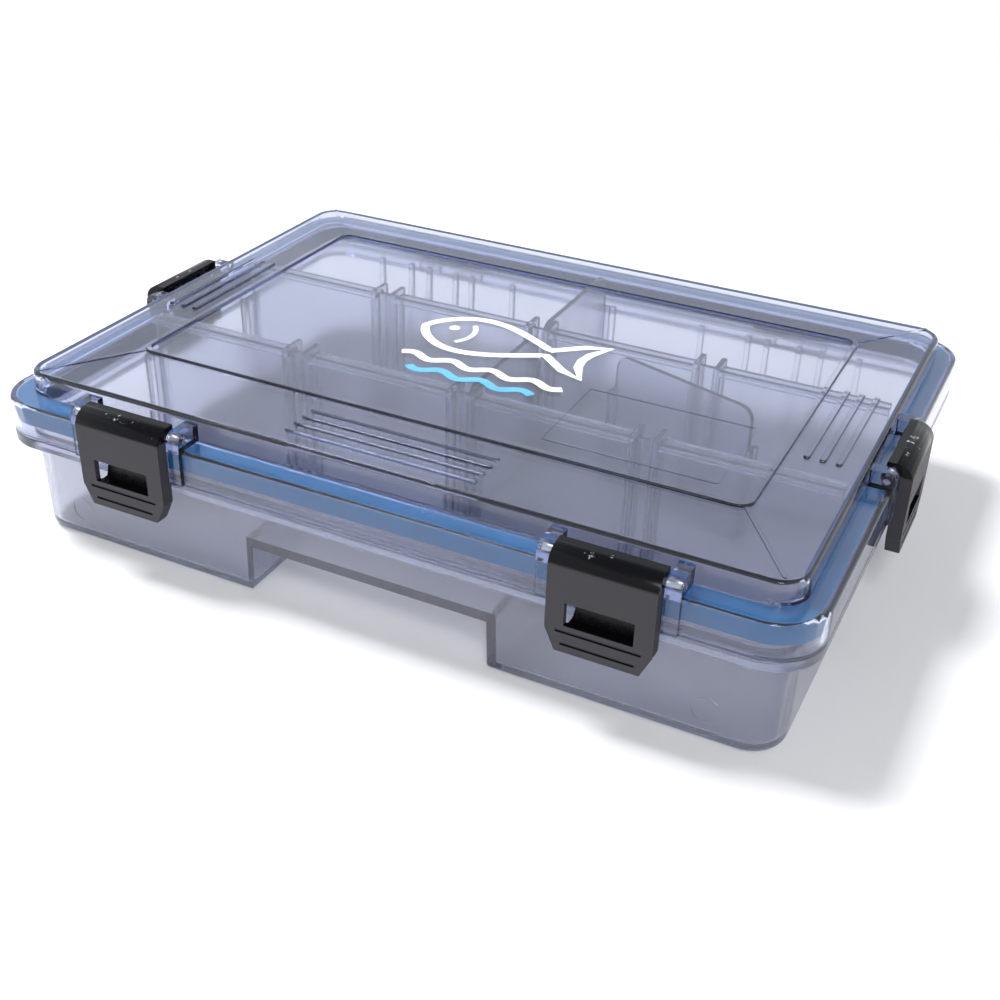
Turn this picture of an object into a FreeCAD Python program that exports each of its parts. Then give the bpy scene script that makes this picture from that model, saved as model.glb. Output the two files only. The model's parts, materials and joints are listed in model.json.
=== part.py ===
import FreeCAD, Part
import math
import os
from FreeCAD import Vector

# A waterproof tackle box: a drafted tray on two feet, a domed lid on two rear hinges with a
# seal in its skirt, four snap latches that swing on pins in ears of the lid, and dividers.
# Millimetres. X runs along the long front, Y to the back, Z up from the surface it stands on.

# ---- Heights
rim_low_z = 28.8             # underside of the tray's rim
rim_thickness = 3.4
seam_gap = 0.2               # between the tray's rim and the lid's skirt
tongue_height = 3.4          # the tray's wall above its rim, which presses into the seal
skirt_height = 9.6
dome_height = 6.2            # from the top of the skirt to the flat top of the lid
roof_z = 15.0                # roof of the finger recess under the front

# ---- Plan sizes
rim_half_x = 115.3
rim_half_y = 85.0
rim_corner_radius = 13.5
body_inset = 5.1             # from the rim's edge to the tray's wall
body_corner_radius = 10.0
body_draft = 0.5             # how far the tray's wall leans in by the floor
shelf_x = 6.1                # width of the lid's shelf round the dome, at the sides
shelf_y = 7.5                # and at the front and the back
dome_corner_radius = 7.5
dome_lean = 0.3              # how far the foot of the dome stands outside its top edge
recess_half_x = 35.4
recess_draft = 0.5
recess_depth = 36.0

# ---- Walls and roundings
tray_wall = 2.0
lid_wall = 1.8
skirt_top_thickness = 1.5
foot_rounding = 2.5
floor_rounding = 1.2
dome_rounding = 1.4
rim_rounding = 0.8
skirt_rounding = 1.2

# ---- Seal and the lip that holds it
lip_clearance = 0.7          # from the tray's wall to the lip inside it
lip_thickness = 1.2
lip_reach = 1.0              # how far the lip passes below the top of the tray's wall
seal_side_gap = 0.15
seal_face_gap = 0.2          # the seal is drawn uncompressed, just above the tray's wall
seal_top_gap = 0.05          # and just below the top of the lid's channel

# ---- Raised details on the lid
border_x = 20.7              # from the dome's top edge to the frame, at the sides
border_front = 26.2
border_back = 22.0
frame_corner_radius = 3.5
bead_width = 1.8
bead_height = 0.8
bead_rounding = 0.45
grip_rib_width = 1.7
grip_rib_height = 0.7
grip_rib_rounding = 0.4
front_rib_count = 4
front_rib_length = 55.0
front_rib_pitch = 4.0
front_rib_gap = 7.9          # from the frame to the first rib in front of it
side_rib_count = 3
side_rib_length = 42.6
side_rib_pitch = 4.1
side_rib_gap = 5.6           # from the frame to the first rib beside it
mitre_width = 1.0
mitre_height = 0.3
mitre_end_x = 4.9            # the ends of the mitre lines lie this far inside the dome's two sides
mitre_end_y = 2.4
panel_half_x = 23.5
panel_half_y = 16.1
panel_gap_x = 10.0           # from the frame's right side to the panel
panel_gap_y = 7.5            # from the frame's front to the panel
panel_line_width = 0.5
panel_line_height = 0.15
panel_corner_radius = 1.0

# ---- Latches, their ears and their pins
front_latch_inset = 47.7     # from the rim's side to the middle of a front latch
side_latch_y = 1.4
latch_half_width = 13.25
latch_wall = 1.6
latch_cheek = 1.5
latch_face_out = 4.2         # outer face, outside the rim's edge
latch_fold_height = 2.2      # these two above the top of the skirt
latch_top_height = 5.9
latch_drop = 7.8             # how far the latch hangs below the underside of the rim
latch_top_flat_y = 0.5       # inner end of the rounded nose, inside the rim's edge
latch_back_y = 2.6           # back edge of the top plate, inside the rim's edge
latch_rim_gap = 0.35         # from the cheeks to the rim's edge
latch_skirt_gap = 0.5        # from the cheeks to the top of the skirt
latch_chamfer_width = 2.7
latch_chamfer_height = 5.8
window_half_width = 8.55
window_low = 7.5             # these three are heights above the latch's lower edge
window_high = 13.8
grooves = ((5.7, 10.6), (2.3, 9.2))                  # height and half width of each groove
groove_width = 0.7
groove_depth = 0.5
hook_half_width = 8.0
hook_gap_z = 0.3             # under the rim
hook_gap_y = 0.25            # the hook ends this far outside the rim's edge
hook_lip = 0.8
hook_slope = 3.2
pin_radius = 1.0
pin_y = 1.6                  # inside the rim's edge
pin_height = 2.2             # above the top of the skirt
pin_ear_clearance = 0.03
pin_latch_clearance = 0.1
pin_recess = 0.8             # each end of the pin lies this deep in its ear
knuckle_radius = 2.0
knuckle_half_width = 1.7
knuckle_x = 6.6
ear_thickness = 3.9
ear_gap = 0.3
ear_radius = 2.6
ear_pad_out = 1.3            # the ear's foot stands this far out from the skirt

# ---- Rear hinges
hinge_inset = 53.3           # from the rim's side to the middle of a hinge
hinge_out = 2.7              # from the rim's edge to the hinge's axis
hinge_radius = 2.4
hinge_pin_radius = 1.1
hinge_pin_fit = 0.03
hinge_lid_clearance = 0.12
hinge_knuckle_length = 8.0
hinge_knuckle_gap = 0.3
hinge_pin_recess = 0.6

# ---- Dividers and the ribs that hold them
divider_top_gap = 2.6        # from the top of a divider to the ceiling of the lid
divider_web = 1.6
long_divider_y = 24.7
long_bead_width = 5.3
long_bead_height = 1.6
long_end_width = 5.3
divider_end_gap = 0.3
divider_lid_gap = 0.8        # from the upper part of a divider to the lip of the lid
slot_pitch = 53.5            # from one short divider's place to the next
slot_width = 4.8             # clear width between the two ribs of a slot
slot_rib = 1.5
slot_rib_depth = 1.6
post_rise = 1.6              # the posts of a long divider rise this far above it
short_end_width = 4.2
short_end_thickness = 1.4
short_corner_radius = 4.0
short_step = 1.8             # each end of a short divider is this much shorter above the tray's rim
single_rib_places = (34.5, 67.2, 74.4, 86.4)
fin_places = (67.2, 74.4)
fin_depth = 6.0
loose_divider_centre = (50.3, 12.2)
loose_divider_angle = -18.0
mark_radius = 3.6
mark_depth = 0.25
mark_inset = 23.3            # from the rim's side
mark_z = 9.5

# ---- Worked out from the sizes above
rim_top_z = rim_low_z + rim_thickness
tongue_top_z = rim_top_z + tongue_height
skirt_low_z = rim_top_z + seam_gap
skirt_top_z = skirt_low_z + skirt_height
skirt_under_z = skirt_top_z - skirt_top_thickness
lid_top_z = skirt_top_z + dome_height
lid_ceiling_z = lid_top_z - lid_wall
lip_outer_inset = tray_wall + lip_clearance          # these two from the tray's outer wall
lip_inner_inset = lip_outer_inset + lip_thickness
lip_low_z = tongue_top_z - lip_reach
body_half_x = rim_half_x - body_inset
body_half_y = rim_half_y - body_inset
tray_half_x = body_half_x - tray_wall
tray_half_y = body_half_y - tray_wall
recess_back_y = recess_depth - body_half_y
dome_half_x = rim_half_x - shelf_x
dome_half_y = rim_half_y - shelf_y
frame_half_x = dome_half_x - border_x
frame_half_y = dome_half_y - (border_front + border_back) / 2
frame_centre_y = (border_front - border_back) / 2
frame_front_y = frame_centre_y - frame_half_y
latch_low_z = rim_low_z - latch_drop
latch_fold_z = skirt_top_z + latch_fold_height
latch_top_z = skirt_top_z + latch_top_height
front_latch_x = rim_half_x - front_latch_inset
pin_z = skirt_top_z + pin_height
hinge_x = rim_half_x - hinge_inset
hinge_y = rim_half_y + hinge_out
hinge_z = rim_top_z + seam_gap / 2
divider_top_z = lid_ceiling_z - divider_top_gap
mark_x = rim_half_x - mark_inset


# ---------------------------------------------------------------- plain shapes

def rounded_outline(half_x, half_y, radius, z):
    """Closed wire of a rectangle with round corners."""
    inner_x = half_x - radius
    inner_y = half_y - radius
    centres = ((inner_x, inner_y), (-inner_x, inner_y), (-inner_x, -inner_y), (inner_x, -inner_y))
    arcs = []
    for quarter, (x, y) in enumerate(centres):
        start = 90 * quarter
        arcs.append(Part.makeCircle(radius, Vector(x, y, z), Vector(0, 0, 1), start, start + 90))
    edges = []
    for quarter, arc in enumerate(arcs):
        following = arcs[(quarter + 1) % 4]
        edges.append(arc)
        edges.append(Part.makeLine(arc.Vertexes[-1].Point, following.Vertexes[0].Point))
    return Part.Wire(edges)


def rounded_block(half_x, half_y, radius, low, high):
    """Upright block with round corners."""
    face = Part.Face(rounded_outline(half_x, half_y, radius, low))
    return face.extrude(Vector(0, 0, high - low))


def drafted_block(half_x, half_y, radius, low, high, lean):
    """Block with round corners whose walls stand out by `lean` more at `high` than at `low`."""
    lower = rounded_outline(half_x, half_y, radius, low)
    upper = rounded_outline(half_x + lean, half_y + lean, radius + lean, high)
    return Part.makeLoft([lower, upper], True, True)


def rim_block(inset, low, high):
    """Block that follows the rim's outline, `inset` inside its edge."""
    return rounded_block(rim_half_x - inset, rim_half_y - inset, rim_corner_radius - inset, low, high)


def body_block(inset, low, high):
    """Block that follows the tray's outer wall at its top, `inset` inside it."""
    return rounded_block(body_half_x - inset, body_half_y - inset, body_corner_radius - inset, low, high)


def box(x_range, y_range, z_range):
    size = [high - low for low, high in (x_range, y_range, z_range)]
    return Part.makeBox(size[0], size[1], size[2], Vector(x_range[0], y_range[0], z_range[0]))


def rod(radius, start, end):
    """Cylinder from one point to another."""
    run = end.sub(start)
    return Part.makeCylinder(radius, run.Length, start, run)


def prism_along_x(points, x_low, x_high):
    """Solid whose section is a polygon of (y, z) points."""
    corners = [Vector(x_low, y, z) for y, z in points]
    return Part.Face(Part.makePolygon(corners + corners[:1])).extrude(Vector(x_high - x_low, 0, 0))


def prism_along_y(points, y_low, y_high):
    """Solid whose section is a polygon of (x, z) points."""
    corners = [Vector(x, y_low, z) for x, z in points]
    return Part.Face(Part.makePolygon(corners + corners[:1])).extrude(Vector(0, y_high - y_low, 0))


def edges_at(shape, z):
    """Edges that lie wholly at one height."""
    flat = []
    for edge in shape.Edges:
        span = edge.BoundBox
        if abs(span.ZMin - z) < 1e-4 and abs(span.ZMax - z) < 1e-4:
            flat.append(edge)
    return flat


def rounded_at(shape, z, radius):
    return shape.makeFillet(radius, edges_at(shape, z))


def joined(first, others):
    return first.multiFuse(others).removeSplitter()


def raised_bar(start, end, width, height, rounding):
    """Low bar with round ends on the lid's top, from one plan point to another."""
    run = Vector(end[0] - start[0], end[1] - start[1], 0)
    half = run.Length / 2
    round_end = width / 2
    low = lid_top_z - lid_wall / 2
    corners = ((half, -round_end), (half, round_end), (-half, round_end), (-half, -round_end))
    points = [Vector(x, y, low) for x, y in corners]
    right = Part.Arc(points[0], Vector(half + round_end, 0, low), points[1]).toShape()
    left = Part.Arc(points[2], Vector(-half - round_end, 0, low), points[3]).toShape()
    sides = [Part.makeLine(points[1], points[2]), Part.makeLine(points[3], points[0])]
    outline = Part.Wire([right, sides[0], left, sides[1]])
    bar = Part.Face(outline).extrude(Vector(0, 0, lid_top_z + height - low))
    if rounding:
        bar = rounded_at(bar, lid_top_z + height, rounding)
    bar.rotate(Vector(0, 0, 0), Vector(0, 0, 1), math.degrees(math.atan2(run.y, run.x)))
    bar.translate(Vector((start[0] + end[0]) / 2, (start[1] + end[1]) / 2, 0))
    return bar


def raised_frame(half_x, half_y, radius, centre, width, height, rounding):
    """Low rectangular bead on the lid's top; the half sizes are those of its centre line."""
    low = lid_top_z - lid_wall / 2
    high = lid_top_z + height
    outer = rounded_block(half_x + width / 2, half_y + width / 2, radius + width / 2, low, high)
    inner = rounded_block(half_x - width / 2, half_y - width / 2, radius - width / 2, low, high)
    bead = outer.cut(inner)
    if rounding:
        bead = rounded_at(bead, high, rounding)
    bead.translate(Vector(centre[0], centre[1], 0))
    return bead


# ---------------------------------------------------------------- stations of the latches
# A latch, its pin and its ears are drawn at the front: the rim's edge lies at y = 0 there and
# outside is -y. Each is then turned and moved to its station.

stations = {
    "front_left": (-front_latch_x, -rim_half_y, 0),
    "front_right": (front_latch_x, -rim_half_y, 0),
    "left": (-rim_half_x, side_latch_y, -90),
    "right": (rim_half_x, side_latch_y, 90),
}


def at_station(shape, name):
    x, y, turn = stations[name]
    placed = shape.copy()
    placed.rotate(Vector(0, 0, 0), Vector(0, 0, 1), turn)
    placed.translate(Vector(x, y, 0))
    return placed


ear_inner_x = latch_half_width + ear_gap
ear_outer_x = ear_inner_x + ear_thickness
ear_reach = max(rim_half_x - dome_half_x, rim_half_y - dome_half_y) + lid_wall / 2


def latch_ear(side):
    """One ear of the lid beside a latch: a web from the dome, round over the pin, with a foot
    that runs down the skirt."""
    inner = side * ear_inner_x
    outer = side * ear_outer_x
    low, high = min(inner, outer), max(inner, outer)
    top = pin_z + ear_radius
    web = box((low, high), (pin_y, ear_reach), (skirt_under_z, top))
    nose = rod(ear_radius, Vector(low, pin_y, pin_z), Vector(high, pin_y, pin_z))
    foot_points = (
        (-ear_pad_out, skirt_low_z),
        (-ear_pad_out, pin_z - ear_radius),
        (pin_y - ear_radius, pin_z),
        (pin_y, pin_z),
        (pin_y, skirt_low_z),
    )
    foot = prism_along_x(foot_points, low, high)
    return web.multiFuse([nose, foot])


def latch_pin():
    reach = ear_outer_x - pin_recess
    return rod(pin_radius, Vector(-reach, pin_y, pin_z), Vector(reach, pin_y, pin_z))


def latch_pin_hole():
    reach = ear_outer_x + 1
    radius = pin_radius + pin_ear_clearance
    return rod(radius, Vector(-reach, pin_y, pin_z), Vector(reach, pin_y, pin_z))


# ---------------------------------------------------------------- latch

def latch_section(inset, low_z, back_y):
    """Side view of the latch's shell: flat top, round nose, flat front. `inset` moves it in."""
    drop = latch_top_z - latch_fold_z
    run = latch_top_flat_y + latch_face_out
    nose_radius = (run ** 2 + drop ** 2) / (2 * drop)
    centre = Vector(0, latch_top_flat_y, latch_top_z - nose_radius)
    radius = nose_radius - inset
    front_y = inset - latch_face_out
    fold_angle = math.acos((centre.y - front_y) / radius)
    fold_z = centre.z + radius * math.sin(fold_angle)
    middle_angle = (fold_angle + math.pi / 2) / 2
    middle = centre.add(Vector(0, -math.cos(middle_angle), math.sin(middle_angle)).multiply(radius))
    top = centre.z + radius
    crown = Vector(0, latch_top_flat_y, top)
    fold = Vector(0, front_y, fold_z)
    corners = [fold, Vector(0, front_y, low_z), Vector(0, back_y, low_z), Vector(0, back_y, top), crown]
    edges = [Part.makeLine(corners[k], corners[k + 1]) for k in range(len(corners) - 1)]
    edges.append(Part.Arc(crown, middle, fold).toShape())
    return Part.Face(Part.Wire(edges))


def latch_front_view(inset):
    """Front view of the latch: a plate with its two lower corners cut off. `inset` moves it in."""
    half = latch_half_width - inset
    low = latch_low_z + inset
    slope = math.hypot(latch_chamfer_width, latch_chamfer_height)
    shift = inset * (slope - latch_chamfer_width) / latch_chamfer_height
    high = latch_top_z + 1
    return (
        (-half, high),
        (-half, latch_low_z + latch_chamfer_height + shift),
        (-(latch_half_width - latch_chamfer_width) + inset, low),
        ((latch_half_width - latch_chamfer_width) - inset, low),
        (half, latch_low_z + latch_chamfer_height + shift),
        (half, high),
    )


def latch_block(inset, back_y):
    """The latch's outline as a solid block, `inset` inside its outer faces."""
    half = latch_half_width - inset
    section = latch_section(inset, latch_low_z - 1, back_y)
    section.translate(Vector(-half, 0, 0))
    block = section.extrude(Vector(2 * half, 0, 0))
    outline = prism_along_y(latch_front_view(inset), -latch_face_out - 1, back_y + 1)
    return block.common(outline)


def latch_barrel(low, high):
    """Round of the latch about its pin, between two places along X."""
    return rod(knuckle_radius, Vector(low, pin_y, pin_z), Vector(high, pin_y, pin_z))


def latch():
    shell = latch_block(0, latch_back_y)
    past = latch_half_width + 1
    clear_z = (latch_low_z - 1, skirt_top_z + latch_skirt_gap)
    clear_low = box((-past, past), (-latch_rim_gap, latch_back_y + 1), clear_z)
    inside = latch_block(latch_wall, latch_back_y + 1)
    shell = shell.cut(clear_low).cut(inside)
    inner_face = latch_wall - latch_face_out
    pieces = []
    for side in (-1, 1):
        low = side * knuckle_x - knuckle_half_width
        high = side * knuckle_x + knuckle_half_width
        web = box((low, high), (inner_face, pin_y + knuckle_radius / 2), (pin_z, latch_top_z - latch_wall))
        middle = side * (latch_half_width - latch_cheek / 2)
        pieces += [latch_barrel(low, high), web]
        pieces.append(latch_barrel(middle - latch_cheek / 2, middle + latch_cheek / 2))
    hook_top = rim_low_z - hook_gap_z
    hook_points = (
        (inner_face - latch_wall / 2, hook_top),
        (-hook_gap_y, hook_top),
        (-hook_gap_y, hook_top - hook_lip),
        (inner_face - latch_wall / 2, hook_top - hook_slope),
    )
    pieces.append(prism_along_x(hook_points, -hook_half_width, hook_half_width))
    body = joined(shell, pieces)
    bore_radius = pin_radius + pin_latch_clearance
    cuts = [rod(bore_radius, Vector(-past, pin_y, pin_z), Vector(past, pin_y, pin_z))]
    face_out = -latch_face_out
    window_z = (latch_low_z + window_low, latch_low_z + window_high)
    cuts.append(box((-window_half_width, window_half_width), (face_out - 1, inner_face), window_z))
    for height, half in grooves:
        low = latch_low_z + height - groove_width / 2
        cuts.append(box((-half, half), (face_out - 1, face_out + groove_depth), (low, low + groove_width)))
    return body.cut(cuts).removeSplitter()


# ---------------------------------------------------------------- hinges

def hinge_knuckle(low, high, rise_to, meet_y):
    """Barrel on the hinge's axis between two places along X, with a web to the wall at meet_y."""
    barrel = rod(hinge_radius, Vector(low, hinge_y, hinge_z), Vector(high, hinge_y, hinge_z))
    bottom, top = sorted((hinge_z, rise_to))
    web = box((low, high), (meet_y, hinge_y), (bottom, top))
    return barrel.fuse(web)


def hinge_spans(side):
    """Places along X of one hinge's three knuckles: tray, lid, tray."""
    centre = side * hinge_x
    half = hinge_knuckle_length / 2
    step = hinge_knuckle_length + hinge_knuckle_gap
    return [(centre + k * step - half, centre + k * step + half) for k in (-1, 0, 1)]


def hinge_reach(side):
    spans = hinge_spans(side)
    return spans[0][0], spans[-1][1]


def hinge_pin(side):
    low, high = hinge_reach(side)
    ends = (low + hinge_pin_recess, high - hinge_pin_recess)
    return rod(hinge_pin_radius, Vector(ends[0], hinge_y, hinge_z), Vector(ends[1], hinge_y, hinge_z))


def hinge_bore(side, clearance):
    low, high = hinge_reach(side)
    radius = hinge_pin_radius + clearance
    return rod(radius, Vector(low - 1, hinge_y, hinge_z), Vector(high + 1, hinge_y, hinge_z))


# ---------------------------------------------------------------- tray

def recess_section(margin):
    """Front view of the finger recess, `margin` outside its faces."""
    half = recess_half_x + margin
    top = roof_z + margin
    return ((-half, -1), (half, -1), (half - recess_draft, top), (-half + recess_draft, top))


def wall_overlap(half):
    """A plane inside the tray's wall over its whole height, where the ribs on it begin."""
    return half + tray_wall / 2 - body_draft


def upright_rib(across, wall):
    """Rib on the back wall (or, turned, on a side wall) from the floor to the rim."""
    reach = (wall - slot_rib_depth - tray_wall / 2, wall)
    return box((across - slot_rib / 2, across + slot_rib / 2), reach, (tray_wall / 2, rim_top_z))


def fin(across, wall):
    """Fin on the back wall: deep at the floor and running out at the rim."""
    points = (
        (wall, tray_wall / 2),
        (tray_half_y - body_draft - fin_depth, tray_wall / 2),
        (tray_half_y - slot_rib_depth / 2, rim_top_z),
        (wall, rim_top_z),
    )
    return prism_along_x(points, across - slot_rib / 2, across + slot_rib / 2)


def back_wall_ribs():
    """Slots for three short dividers, single ribs and fins."""
    wall = wall_overlap(tray_half_y)
    half_slot = (slot_width + slot_rib) / 2
    ribs = []
    for slot in (-slot_pitch, 0, slot_pitch):
        ribs += [upright_rib(slot - half_slot, wall), upright_rib(slot + half_slot, wall)]
    for place in single_rib_places:
        ribs += [upright_rib(-place, wall), upright_rib(place, wall)]
    for place in fin_places:
        ribs += [fin(-place, wall), fin(place, wall)]
    return ribs


def side_wall_ribs():
    """Slots for the ends of the two long dividers."""
    wall = wall_overlap(tray_half_x)
    half_slot = (long_end_width + slot_rib) / 2 + divider_end_gap
    ribs = []
    for divider_y in (-long_divider_y, long_divider_y):
        for side in (-1, 1):
            for turn in (-90, 90):
                rib = upright_rib(0, wall)
                rib.rotate(Vector(0, 0, 0), Vector(0, 0, 1), turn)
                rib.translate(Vector(0, divider_y + side * half_slot, 0))
                ribs.append(rib)
    return ribs


def tray_shell():
    """The tray's walls and floor with the finger recess, its rim, and the wall above the rim."""
    foot_half_x = body_half_x - body_draft
    foot_half_y = body_half_y - body_draft
    foot_radius = body_corner_radius - body_draft
    outside = drafted_block(foot_half_x, foot_half_y, foot_radius, 0, rim_top_z, body_draft)
    recess = prism_along_y(recess_section(0), -rim_half_y, recess_back_y)
    outside = rounded_at(outside.cut(recess), 0, foot_rounding)
    floor_size = (foot_half_x - tray_wall, foot_half_y - tray_wall, foot_radius - tray_wall)
    inside = drafted_block(*floor_size, tray_wall, rim_top_z, body_draft)
    raised_floor = prism_along_y(recess_section(tray_wall), -rim_half_y, recess_back_y + tray_wall)
    inside = rounded_at(inside.cut(raised_floor), tray_wall, floor_rounding)
    rim = rim_block(0, rim_low_z, rim_top_z).cut(body_block(tray_wall / 2, rim_low_z, rim_top_z))
    rim = rounded_at(rounded_at(rim, rim_low_z, rim_rounding), rim_top_z, rim_rounding / 2)
    low = rim_top_z - rim_thickness / 2
    tongue = body_block(0, low, tongue_top_z).cut(body_block(tray_wall, low, tongue_top_z))
    return joined(outside, [rim]).cut(inside).fuse(tongue)


def front_mark(side):
    """Shallow round mark in the front of one foot."""
    face_y = body_draft * (1 - mark_z / rim_top_z) - body_half_y
    outside = Vector(side * mark_x, face_y - 1, mark_z)
    return rod(mark_radius, outside, Vector(side * mark_x, face_y + mark_depth, mark_z))


def tray():
    knuckles = []
    for side in (-1, 1):
        first, _, last = hinge_spans(side)
        for low, high in (first, last):
            knuckles.append(hinge_knuckle(low, high, rim_low_z, rim_half_y - rim_rounding * 2))
    shell = joined(tray_shell(), back_wall_ribs() + side_wall_ribs() + knuckles)
    cuts = [hinge_bore(side, hinge_pin_fit) for side in (-1, 1)]
    cuts += [front_mark(side) for side in (-1, 1)]
    return shell.cut(cuts)


# ---------------------------------------------------------------- lid

def lid_details():
    frame = (frame_half_x, frame_half_y, frame_corner_radius)
    centre = (0, frame_centre_y)
    pieces = [raised_frame(*frame, centre, bead_width, bead_height, bead_rounding)]
    panel = (panel_half_x, panel_half_y, panel_corner_radius)
    centre = (frame_half_x - panel_gap_x - panel_half_x, frame_front_y + panel_gap_y + panel_half_y)
    pieces.append(raised_frame(*panel, centre, panel_line_width, panel_line_height, 0))
    grip_rib = (grip_rib_width, grip_rib_height, grip_rib_rounding)
    half = (front_rib_length - grip_rib_width) / 2
    for k in range(front_rib_count):
        y = frame_front_y - front_rib_gap - k * front_rib_pitch
        pieces.append(raised_bar((-half, y), (half, y), *grip_rib))
    half = (side_rib_length - grip_rib_width) / 2
    for side in (-1, 1):
        for k in range(side_rib_count):
            x = side * (frame_half_x + side_rib_gap + k * side_rib_pitch)
            pieces.append(raised_bar((x, -half), (x, half), *grip_rib))
    corner_share = 1 - math.sqrt(0.5)
    for side_x in (-1, 1):
        for side_y in (-1, 1):
            inset = frame_corner_radius * corner_share
            start = (side_x * (frame_half_x - inset), frame_centre_y + side_y * (frame_half_y - inset))
            end = (side_x * (dome_half_x - mitre_end_x), side_y * (dome_half_y - mitre_end_y))
            pieces.append(raised_bar(start, end, mitre_width, mitre_height, 0))
    return pieces


def lid():
    foot_size = (dome_half_x + dome_lean, dome_half_y + dome_lean, dome_corner_radius + dome_lean)
    dome = drafted_block(*foot_size, skirt_top_z, lid_top_z, -dome_lean)
    dome = rounded_at(dome, lid_top_z, dome_rounding)
    skirt = rounded_at(rim_block(0, skirt_low_z, skirt_top_z), skirt_top_z, skirt_rounding)
    skirt = rounded_at(skirt, skirt_low_z, rim_rounding / 2)
    additions = [skirt] + lid_details()
    for name in stations:
        for side in (-1, 1):
            additions.append(at_station(latch_ear(side), name))
    for side in (-1, 1):
        low, high = hinge_spans(side)[1]
        additions.append(hinge_knuckle(low, high, skirt_low_z + hinge_radius, rim_half_y - lid_wall / 2))
    body = joined(dome, additions)
    lean_inside = dome_lean * (lid_ceiling_z - skirt_top_z) / dome_height
    inner_foot = [size - lid_wall for size in foot_size]
    lip_core = body_block(lip_outer_inset, lip_low_z, skirt_under_z)
    channel = rim_block(lid_wall, lip_low_z, skirt_under_z).cut(lip_core)
    cuts = [
        drafted_block(*inner_foot, skirt_top_z, lid_ceiling_z, -lean_inside),
        body_block(lip_inner_inset, lip_low_z, skirt_top_z),
        rim_block(lid_wall, skirt_low_z - 1, lip_low_z),
        channel,
    ]
    cuts += [at_station(latch_pin_hole(), name) for name in stations]
    cuts += [hinge_bore(side, hinge_lid_clearance) for side in (-1, 1)]
    return body.cut(cuts)


def gasket():
    low = tongue_top_z + seal_face_gap
    high = skirt_under_z - seal_top_gap
    outer = rim_block(lid_wall + seal_side_gap, low, high)
    return outer.cut(body_block(lip_outer_inset - seal_side_gap, low, high))


# ---------------------------------------------------------------- dividers

def panel_outline(lower_half, upper_half):
    """Front view of a divider: its lower corners clear the rounding of the tray's floor, and above
    the tray's rim it is narrower, to clear the lip of the lid."""
    foot_half = lower_half - floor_rounding
    right = (
        (foot_half, tray_wall),
        (lower_half, tray_wall + floor_rounding),
        (lower_half, rim_top_z),
        (upper_half, rim_top_z),
        (upper_half, divider_top_z),
    )
    left = [(-place, z) for place, z in reversed(right)]
    return list(right) + left


def long_divider(y):
    """Divider along the tray: a web with a bead on top, end plates and three slotted posts."""
    lower_half = tray_half_x - body_draft - divider_end_gap
    upper_half = body_half_x - lip_inner_inset - divider_lid_gap
    web_half = divider_web / 2
    bead_half = long_bead_width / 2
    reach = bead_half + slot_rib_depth
    web = prism_along_y(panel_outline(lower_half, upper_half), -web_half, web_half)
    bead_z = (divider_top_z - long_bead_height, divider_top_z)
    pieces = [box((-upper_half, upper_half), (-bead_half, bead_half), bead_z)]
    for side in (-1, 1):
        along = sorted((side * lower_half, side * (lower_half - slot_rib_depth)))
        end_half = long_end_width / 2
        pieces.append(box(along, (-end_half, end_half), (tray_wall + floor_rounding, rim_top_z)))
    post_top_z = divider_top_z + post_rise
    slots = []
    for place in (-slot_pitch, 0, slot_pitch):
        for side in (-1, 1):
            middle = place + side * (slot_width + slot_rib) / 2
            across = (middle - slot_rib / 2, middle + slot_rib / 2)
            pieces.append(box(across, (-reach, reach), (tray_wall, post_top_z)))
            across = (place - slot_width / 2, place + slot_width / 2)
            slots.append(box(across, sorted((side * web_half, side * reach)), (tray_wall, post_top_z)))
    divider = joined(web, pieces).cut(slots)
    divider.translate(Vector(0, y, 0))
    return divider


def short_divider(length):
    """Divider across a row: a web with an end plate at each end and round upper corners."""
    half = length / 2
    web_half = divider_web / 2
    upper_half = half - short_step
    web = prism_along_x(panel_outline(half, upper_half), -web_half, web_half)
    corners = []
    for edge in web.Edges:
        middle = edge.CenterOfMass
        along_x = edge.BoundBox.XLength > web_half
        if along_x and abs(middle.z - divider_top_z) < 1e-4 and abs(abs(middle.y) - upper_half) < 1e-4:
            corners.append(edge)
    web = web.makeFillet(short_corner_radius, corners)
    ends = []
    for side in (-1, 1):
        reach = sorted((side * half, side * (half - short_end_thickness)))
        end_half = short_end_width / 2
        ends.append(box((-end_half, end_half), reach, (tray_wall + floor_rounding, rim_top_z)))
    return joined(web, ends)


middle_row = (-long_divider_y + divider_web / 2, long_divider_y - divider_web / 2)
rear_row = (long_divider_y + divider_web / 2, tray_half_y - body_draft)


def placed_short_divider(row):
    """Short divider at the middle of the tray, standing across one row."""
    divider = short_divider(row[1] - row[0] - 2 * divider_end_gap)
    divider.translate(Vector(0, (row[0] + row[1]) / 2, 0))
    return divider


def loose_divider():
    piece = short_divider(rear_row[1] - rear_row[0] - 2 * divider_end_gap)
    piece.rotate(Vector(0, 0, 0), Vector(0, 0, 1), 90 + loose_divider_angle)
    piece.translate(Vector(loose_divider_centre[0], loose_divider_centre[1], 0))
    return piece


# ---------------------------------------------------------------- all pieces

pieces = {
    "base_tray": tray(),
    "lid": lid(),
    "lid_gasket": gasket(),
    "hinge_pin_left": hinge_pin(-1),
    "hinge_pin_right": hinge_pin(1),
    "long_divider_front": long_divider(-long_divider_y),
    "long_divider_rear": long_divider(long_divider_y),
    "short_divider_middle": placed_short_divider(middle_row),
    "short_divider_rear": placed_short_divider(rear_row),
    "short_divider_loose": loose_divider(),
}
one_latch = latch()
for station in stations:
    pieces["latch_" + station] = at_station(one_latch, station)
    pieces["latch_pin_" + station] = at_station(latch_pin(), station)

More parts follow.
